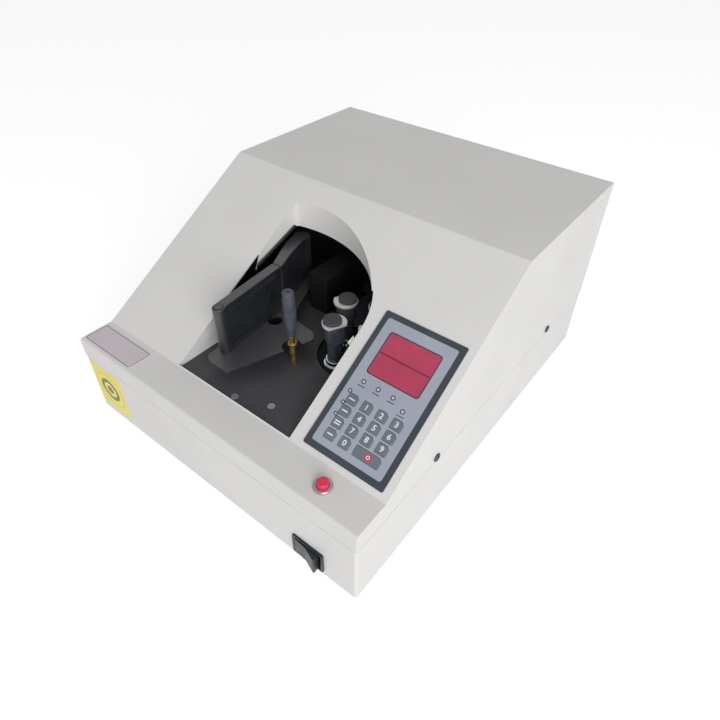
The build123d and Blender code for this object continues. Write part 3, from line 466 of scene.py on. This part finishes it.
finish_of = {
    coat: ["base_tray", "top_cover", "recess_liner"],
    deck_black: ["deck_plate"],
    # The bay's walls and the actuator get the near black, painted shade deep in the bay.
    chamber_painted_shade_black: ["chamber_wall", "clamp_actuator"],
    turret_black: ["turret_drum"],
    enamel: ["clamp_plate", "clamp_block", "clamp_rail"],
    pad: ["clamp_jaw"],
    chrome: ["spindle_collars"],
    steel: ["sun_gear", "motor_pulley"],
    brass: ["guide_stud"],
    screw_steel: ["screws"],
    nylon: ["guide_roller"],
    foot_rubber: ["rubber_feet"],
    belt_rubber: ["drive_belt", "vacuum_hose"],
    switch_black: ["rocker_frame", "rocker_paddle", "mains_inlet"],
    motor_paint: ["drive_motor", "vacuum_pump"],
    film_grey: ["keypad_panel"],
    window_red: ["display_window"],
    segment_dark: ["display_digits"],
    lamp_clear: ["indicator_leds"],
    button_red: ["button_plunger"],
    bezel_nickel: ["button_bezel"],
    badge_metal: ["badge_plate"],
    vinyl_yellow: ["round_sticker"],
    board_green: ["keypad_board", "control_board"],
    alloy: ["turret_housing", "power_supply"],
    key_grey: [name for name in nodes if name.startswith("key_")],
    cap_rubber: [name for name in nodes if name.startswith("spindle_cap_")],
}
spindle_black_and_painted_reflection = spindle_finish()
finish_of[spindle_black_and_painted_reflection] = [n for n in nodes if n.startswith("spindle_") and n[-2] == "_" and n[8].isdigit()]
finished = {}
for material, names in finish_of.items():
    for name in names:
        mesh = nodes[name].data
        mesh.materials.clear()
        mesh.materials.append(material)
        finished[name] = material.name
print("finished", len(finished), "of", len(nodes), "nodes; left:", sorted(set(nodes) - set(finished)))

# %% [markdown]
# ## Thin printed pieces
# Print, film and badges are thinner than paper. Blender's 2D curves suit them well: each closed loop is
# an outline, a loop inside another is a hole, and a small extrusion gives the thickness. The loops are
# drawn flat, in millimetres, and one matrix puts the piece in its place.

# %% Loops for flat pieces
def round_box(x0, y0, x1, y1, radius, steps=6):
    points = []
    corners = (
        (x1 - radius, y1 - radius, 0),
        (x0 + radius, y1 - radius, 90),
        (x0 + radius, y0 + radius, 180),
        (x1 - radius, y0 + radius, 270),
    )
    for cx, cy, first in corners:
        for step in range(steps + 1):
            turn = math.radians(first + 90 * step / steps)
            points.append((cx + radius * math.cos(turn), cy + radius * math.sin(turn)))
    return points


def circle(x, y, radius, steps=40):
    turns = [2 * math.pi * step / steps for step in range(steps)]
    return [(x + radius * math.cos(turn), y + radius * math.sin(turn)) for turn in turns]


def thin_piece(name, loops, thickness, place, material, body):
    flat = bpy.data.curves.new(name, "CURVE")
    flat.dimensions = "2D"
    flat.fill_mode = "BOTH"
    flat.extrude = thickness / 2 * MM
    for loop in loops:
        spline = flat.splines.new("POLY")
        spline.points.add(len(loop) - 1)
        for point, (x, y) in zip(spline.points, loop):
            point.co = (x * MM, y * MM, 0, 1)
        spline.use_cyclic_u = True
    return settle(name, flat, thickness, place, material, body)


def settle(name, flat, thickness, place, material, body):
    """Turn a flat curve or text into a mesh whose underside lies on the place's plane."""
    maker = bpy.data.objects.new(name + "_maker", flat)
    bpy.context.scene.collection.objects.link(maker)
    bpy.context.view_layer.update()
    mesh = bpy.data.meshes.new_from_object(maker)
    bpy.data.objects.remove(maker)
    mesh.transform(place @ Matrix.Translation((0, 0, thickness / 2 * MM)))
    mesh.name = name
    mesh.materials.clear()
    mesh.materials.append(material)
    piece = bpy.data.objects.new(name, mesh)
    bpy.context.scene.collection.objects.link(piece)
    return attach(piece, body)


# %% [markdown]
# The keypad lies on the sloping face. The travel of any key gives the direction out of the slope, and the
# keypad panel's box gives its lower left corner, so a place on the keypad is written as millimetres across,
# millimetres up the slope, and millimetres above the printed face.

# %% Places on the keypad
PANEL_THICKNESS = 1.0
press = next(Vector(j["axis"]) for j in frame["joints"] if j["name"] == "key_5_press")
out = -press.normalized()
across = Vector((1, 0, 0))
up = out.cross(across)
panel_low, panel_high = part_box("keypad_panel")
panel_corner = Vector((panel_low.x, panel_low.y, panel_low.z + PANEL_THICKNESS * MM * out.z))
print("slope leans", round(math.degrees(math.asin(up.z)), 2), "degrees")


def keypad_place(height=0.0, x=0.0, s=0.0):
    origin = panel_corner + across * x * MM + up * s * MM + out * height * MM
    turn = Matrix((across, up, out)).transposed().to_4x4()
    return Matrix.Translation(origin) @ turn


def keypad_spot(node):
    """Middle of a CAD node's outer face, as (x, s, height) on the keypad."""
    corners = [v.co for v in nodes[node].data.vertices]
    spots = [(c - panel_corner) / MM for c in corners]
    xs = [s.dot(across) for s in spots]
    ss = [s.dot(up) for s in spots]
    hs = [s.dot(out) for s in spots]
    return (min(xs) + max(xs)) / 2, (min(ss) + max(ss)) / 2, max(hs)


# %% [markdown]
# A slate border runs round the light grey field of the film, with rounded inner corners. A dark line frames
# the red window.

# %% Keypad border and window line
INK = 0.05
BORDER_LEFT, BORDER_LOW, BORDER_RIGHT, BORDER_HIGH = 5.2, 5.7, 5.6, 5.3
LINE_HALF_WIDTH, LINE_HALF_LENGTH, LINE_WIDTH = 25.9, 20.3, 1.0
width = (panel_high.x - panel_low.x) / MM
length = ((panel_high.y - panel_low.y) - PANEL_THICKNESS * MM * abs(out.y)) / up.y / MM
field = round_box(BORDER_LEFT, BORDER_LOW, width - BORDER_RIGHT, length - BORDER_HIGH, 2.2)
thin_piece(
    "keypad_border",
    [round_box(0, 0, width, length, 1.5), field],
    INK,
    keypad_place(),
    border_ink,
    "case",
)
wx, ws, wh = keypad_spot("display_window")


def window_loop(inset, radius):
    half_width, half_length = LINE_HALF_WIDTH - inset, LINE_HALF_LENGTH - inset
    return round_box(wx - half_width, ws - half_length, wx + half_width, ws + half_length, radius)


window_line = [window_loop(0, 2.9), window_loop(LINE_WIDTH, 2.3)]
thin_piece("window_line", window_line, INK, keypad_place(), dark_ink, "case")
print("keypad", round(width, 1), "by", round(length, 1), "mm, window middle at", round(wx, 1), round(ws, 1))

# %% [markdown]
# ## The unlit display
# Behind the red filter sit seven-segment digits. Switched off, they only show as slightly paler bars, with
# a dark line where the two rows of modules meet. Each bar is a long hexagon, so a digit is seven hexagons
# and a dot.

# %% Seven-segment digits
def segment(x0, y0, x1, y1, half):
    along = Vector((x1 - x0, y1 - y0)).normalized()
    side = Vector((-along.y, along.x)) * half
    a = Vector((x0, y0)) + along * half * 0.25
    b = Vector((x1, y1)) - along * half * 0.25
    inner_a = a + along * half
    inner_b = b - along * half
    return [tuple(p) for p in (a, inner_a - side, inner_b - side, b, inner_b + side, inner_a + side)]


def digit_loops(x, y, w=7.0, h=12.6, half=0.62, lean=0.12):
    ends = [
        ((0, 0), (w, 0)),
        ((0, h / 2), (w, h / 2)),
        ((0, h), (w, h)),
        ((0, 0), (0, h / 2)),
        ((0, h / 2), (0, h)),
        ((w, 0), (w, h / 2)),
        ((w, h / 2), (w, h)),
    ]
    loops = []
    for (ax, ay), (bx, by) in ends:
        bar = segment(x + ax, y + ay, x + bx, y + by, half)
        loops.append([(px + (py - y) * lean, py) for px, py in bar])
    loops.append(circle(x + w + 2.0, y, 0.6, 12))
    return loops


FIRST_DIGIT, DIGIT_PITCH = -23.6, 12.2
UPPER_ROW, LOWER_ROW = 3.6, -16.2
TINT = 0.02
digits = []
for row, columns in ((UPPER_ROW, range(4)), (LOWER_ROW, range(1, 4))):
    for column in columns:
        digits += digit_loops(wx + FIRST_DIGIT + column * DIGIT_PITCH, ws + row)
thin_piece("unlit_digits", digits, TINT, keypad_place(wh), segment_tint, "case")
row_gap = [round_box(wx - 24.6, ws - 0.7, wx + 24.6, ws + 0.7, 0.3)]
thin_piece("row_gap", row_gap, TINT, keypad_place(wh), segment_dark, "case")

# %% [markdown]
# ## Keys
# The number keys carry bold white numerals. Text is the quickest outline for them, made into a mesh and
# laid on the key it belongs to, so that it travels with it. The other keys carry plain bars, and the clear
# key a red dot with a white ring.

# %% Key legends
def numeral(digit, x, s, height, body):
    text = bpy.data.curves.new("numeral_" + digit, "FONT")
    text.body = digit
    text.size = 6.6 * MM
    text.offset = 0.13 * MM
    text.extrude = INK / 2 * MM
    text.align_x = "CENTER"
    text.align_y = "CENTER"
    return settle("numeral_" + digit, text, INK, keypad_place(height, x, s), white_ink, body)


for digit in "0123456789":
    x, s, height = keypad_spot("key_" + digit)
    numeral(digit, x - 0.2, s, height, "key_" + digit)
for name, bars in (("key_mode", (0,)), ("key_batch", (1.1, -1.1)), ("key_add", (0,)), ("key_start", (0,))):
    x, s, height = keypad_spot(name)
    loops = [round_box(x - 3.2, s + rise - 0.55, x + 2.6, s + rise + 0.55, 0.3) for rise in bars]
    thin_piece(name.replace("key_", "legend_"), loops, INK, keypad_place(height), white_ink, name)
x, s, height = keypad_spot("key_clear")
thin_piece("clear_dot", [circle(x + 1.2, s, 3.0)], INK, keypad_place(height), red_ink, "key_clear")
ring = [circle(x + 1.2, s, 1.7), circle(x + 1.2, s, 1.0)]
thin_piece("clear_ring", ring, TINT, keypad_place(height + INK), white_ink, "key_clear")

# %% [markdown]
# ## Indicator lamps
# Each lamp shows through the film as a pale dot inside a printed dark ring. The lamps are one CAD node of
# several solids, so their places are found by grouping its vertices. The larger lamps have a printed word
# below them, drawn as a plain bar, and the small ones beside the keys have none.

# %% Rings round the lamps
LAMP_REACH = 4.0
LAMP_FACE = 0.31
SMALL_LAMP_RADIUS = 1.3


def lamp_spots():
    found = []
    for vertex in nodes["indicator_leds"].data.vertices:
        spot = (vertex.co - panel_corner) / MM
        x, s = spot.dot(across), spot.dot(up)
        for group in found:
            if abs(group[0][0] - x) < LAMP_REACH and abs(group[0][1] - s) < LAMP_REACH:
                group.append((x, s))
                break
        else:
            found.append([(x, s)])
    spots = []
    for group in found:
        xs = [x for x, s in group]
        ss = [s for x, s in group]
        spots.append(((min(xs) + max(xs)) / 2, (min(ss) + max(ss)) / 2, (max(xs) - min(xs)) / 2))
    return sorted(spots, key=lambda spot: (-round(spot[1]), spot[0]))


lamps = lamp_spots()
for number, (x, s, radius) in enumerate(lamps, start=1):
    loops = [circle(x, s, radius + 0.55), circle(x, s, radius - 0.25)]
    thin_piece(f"lamp_ring_{number}", loops, INK, keypad_place(LAMP_FACE), dark_ink, "case")
    if radius > SMALL_LAMP_RADIUS:
        bar = [round_box(x - 3.6, s - 4.6, x + 3.6, s - 3.9, 0.3)]
        thin_piece(f"lamp_legend_{number}", bar, INK, keypad_place(), dark_ink, "case")
print("lamps at", [(round(x, 1), round(s, 1)) for x, s, radius in lamps])

# %% [markdown]
# ## Badge and sticker
# The badge on the front shelf is left blank, with its thin dark outline. The sticker on the front keeps a
# plain printed target: a disc in a broad ring, and a hairline ring near its edge, with nothing written.

# %% Badge outline
badge_low, badge_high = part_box("badge_plate")
badge_w = (badge_high.x - badge_low.x) / MM
badge_d = (badge_high.y - badge_low.y) / MM
badge_loops = [
    round_box(inset, inset, badge_w - inset, badge_d - inset, radius)
    for inset, radius in ((0.5, 2.2), (1.0, 1.8))
]
badge_place = Matrix.Translation((badge_low.x, badge_low.y, badge_high.z))
PRINT = 0.03
thin_piece("badge_outline", badge_loops, PRINT, badge_place, dark_ink, "case")

# %% Sticker print
sticker_low, sticker_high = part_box("round_sticker")
mid_x = (sticker_low.x + sticker_high.x) / 2
mid_z = (sticker_low.z + sticker_high.z) / 2
front = Matrix(((1, 0, 0, mid_x), (0, 0, -1, sticker_low.y), (0, 1, 0, mid_z), (0, 0, 0, 1)))
for part, radii in (("ring", (14.2, 9.6)), ("disc", (5.0,)), ("hairline", (21.6, 21.3))):
    loops = [circle(0, 0, radius) for radius in radii]
    thin_piece("sticker_" + part, loops, PRINT, front, vinyl_brown, "case")

# %% [markdown]
# ## Edging on the left wall
# The wall on the left of the note bay ends in a sloping lower edge with a rubber edging. The edge runs
# from the wall's lowest point, at its front, up to the level edge of the curved wall behind it. The edging's
# colour is painted shade: dark at the bottom and grey at the top, as a rounded edge is shaded, so its colour
# follows the distance from the edge. Its two ends are cut on a slant.

# %% Edging strip
LINER_SHEET = 1.2 * MM
REAR_PART = -75 * MM
CURVED_WALL_EDGE = 175 * MM
STRIP_HEIGHT, STRIP_THICKNESS = 5.2, 0.4
liner_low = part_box("recess_liner")[0]
wall_x = liner_low.x + LINER_SHEET
wall_points = [v.co for v in nodes["recess_liner"].data.vertices if v.co.x < wall_x + 0.05 * MM]
rear_points = [c for c in wall_points if c.y > REAR_PART]
foot = min(rear_points, key=lambda c: (round(c.z, 4), c.y))
level = [c for c in rear_points if abs(c.z - CURVED_WALL_EDGE) < 0.2 * MM]
rear = max(level, key=lambda c: c.y) if level else max(rear_points, key=lambda c: c.y)
print("edging from", [round(v, 4) for v in foot], "to", [round(v, 4) for v in rear])
y0, z0, y1, z1 = foot.y / MM, foot.z / MM, rear.y / MM, rear.z / MM
rise = math.atan2(z1 - z0, y1 - y0)
lift = (-math.sin(rise) * STRIP_HEIGHT, math.cos(rise) * STRIP_HEIGHT)
shaded_edging, edging_shader = start_material("rubber_edging_painted_shade", "#4A4D47", 0.6, ior=1.52)
along_edge = (0, -math.sin(rise), math.cos(rise))
level_of = add(
    shaded_edging,
    "ShaderNodeVectorMath",
    {0: surface_place(shaded_edging), 1: along_edge},
    operation="DOT_PRODUCT",
)
start = along_edge[1] * foot.y + along_edge[2] * foot.z
shade_fade = add(
    shaded_edging,
    "ShaderNodeMapRange",
    {"Value": level_of.outputs["Value"], "From Min": start, "From Max": start + STRIP_HEIGHT * MM},
)
# Dark at the edge to grey above it: painted shade of a rounded edge.
painted_shade_tones = add(shaded_edging, "ShaderNodeValToRGB", {"Fac": shade_fade.outputs[0]})
painted_shade_tones.color_ramp.elements[0].color = srgb("#10130F")
painted_shade_tones.color_ramp.elements[1].color = srgb("#8E918A")
middle = painted_shade_tones.color_ramp.elements.new(0.6)
middle.color = srgb("#45483F")
link(shaded_edging, painted_shade_tones.outputs[0], edging_shader.inputs["Base Color"])
raise_relief(shaded_edging, edging_shader, 0.8 * MM, 0.02 * MM)
wall_place = Matrix(((0, 0, 1, wall_x), (1, 0, 0, 0), (0, 1, 0, 0), (0, 0, 0, 1)))
strip = [
    (y0 + 0.4, z0 + 0.2),
    (y1, z1),
    (y1 + lift[0] - 3.0, z1 + lift[1] - 2.0),
    (y0 + lift[0] + 3.4, z0 + lift[1] + 1.7),
]
thin_piece("wall_edging", [strip], STRIP_THICKNESS, wall_place, shaded_edging, "case")

# %% [markdown]
# ## Camera, floor and light
# The camera stands to the right of the machine, above it and close, where a hand-held camera would be. Its
# matrix is built from three directions. The floor is a pale sheet with a little light of its own, so that it
# stays near white under the machine's soft shadow, and it throws no light back up at the sides. The one lamp
# is a large soft box, low and to the right, which makes the right side the brightest and the top the dullest.

# %% Camera
camera_data = bpy.data.cameras.new("studio_camera")
camera_data.sensor_width = 36
camera_data.lens = 28.73
camera_data.shift_x = -0.0142
camera_data.shift_y = -0.0299
camera_data.clip_start = 0.02
camera = bpy.data.objects.new("studio_camera", camera_data)
bpy.context.scene.collection.objects.link(camera)
right = Vector((0.79218, 0.60999, 0.01907))
down = Vector((0.40638, -0.50393, -0.76217))
ahead = Vector((-0.45530, 0.61153, -0.64710))
turn = Matrix((right, -down, -ahead)).transposed().to_4x4()
camera.matrix_world = Matrix.Translation((0.30656, -0.37744, 0.46815)) @ turn
bpy.context.scene.camera = camera

# %% Floor and light
REACH = 9
floor_mesh = bpy.data.meshes.new("studio_floor")
corners = [(x * REACH, y * REACH, 0) for x, y in ((-1, -1), (1, -1), (1, 1), (-1, 1))]
floor_mesh.from_pydata(corners, [], [(0, 1, 2, 3)])
floor = bpy.data.objects.new("studio_floor", floor_mesh)
bpy.context.scene.collection.objects.link(floor)
paper, paper_shader = start_material("white_background_paper", "#F4F4F4", 0.9)
paper_shader.inputs["Emission Color"].default_value = (1, 1, 1, 1)
paper_shader.inputs["Emission Strength"].default_value = 0.46
floor_mesh.materials.append(paper)
floor.visible_diffuse = False

world = bpy.data.worlds.new("studio_world")
bpy.context.scene.world = world
world.use_nodes = True
world.node_tree.nodes["Background"].inputs["Color"].default_value = (1, 1, 1, 1)
world.node_tree.nodes["Background"].inputs["Strength"].default_value = 0.5


def soft_box(name, place, aim, size, power):
    light = bpy.data.lights.new(name, "AREA")
    light.shape = "SQUARE"
    light.size = size
    light.energy = power
    lamp = bpy.data.objects.new(name, light)
    lamp.location = place
    lamp.rotation_mode = "QUATERNION"
    lamp.rotation_quaternion = (Vector(aim) - Vector(place)).to_track_quat("-Z", "Y")
    bpy.context.scene.collection.objects.link(lamp)
    return lamp


soft_box("key_light", (1.68, -1.26, 0.85), (0, 0, 0.1), 1.4, 29)
bpy.context.scene.view_settings.view_transform = "Standard"
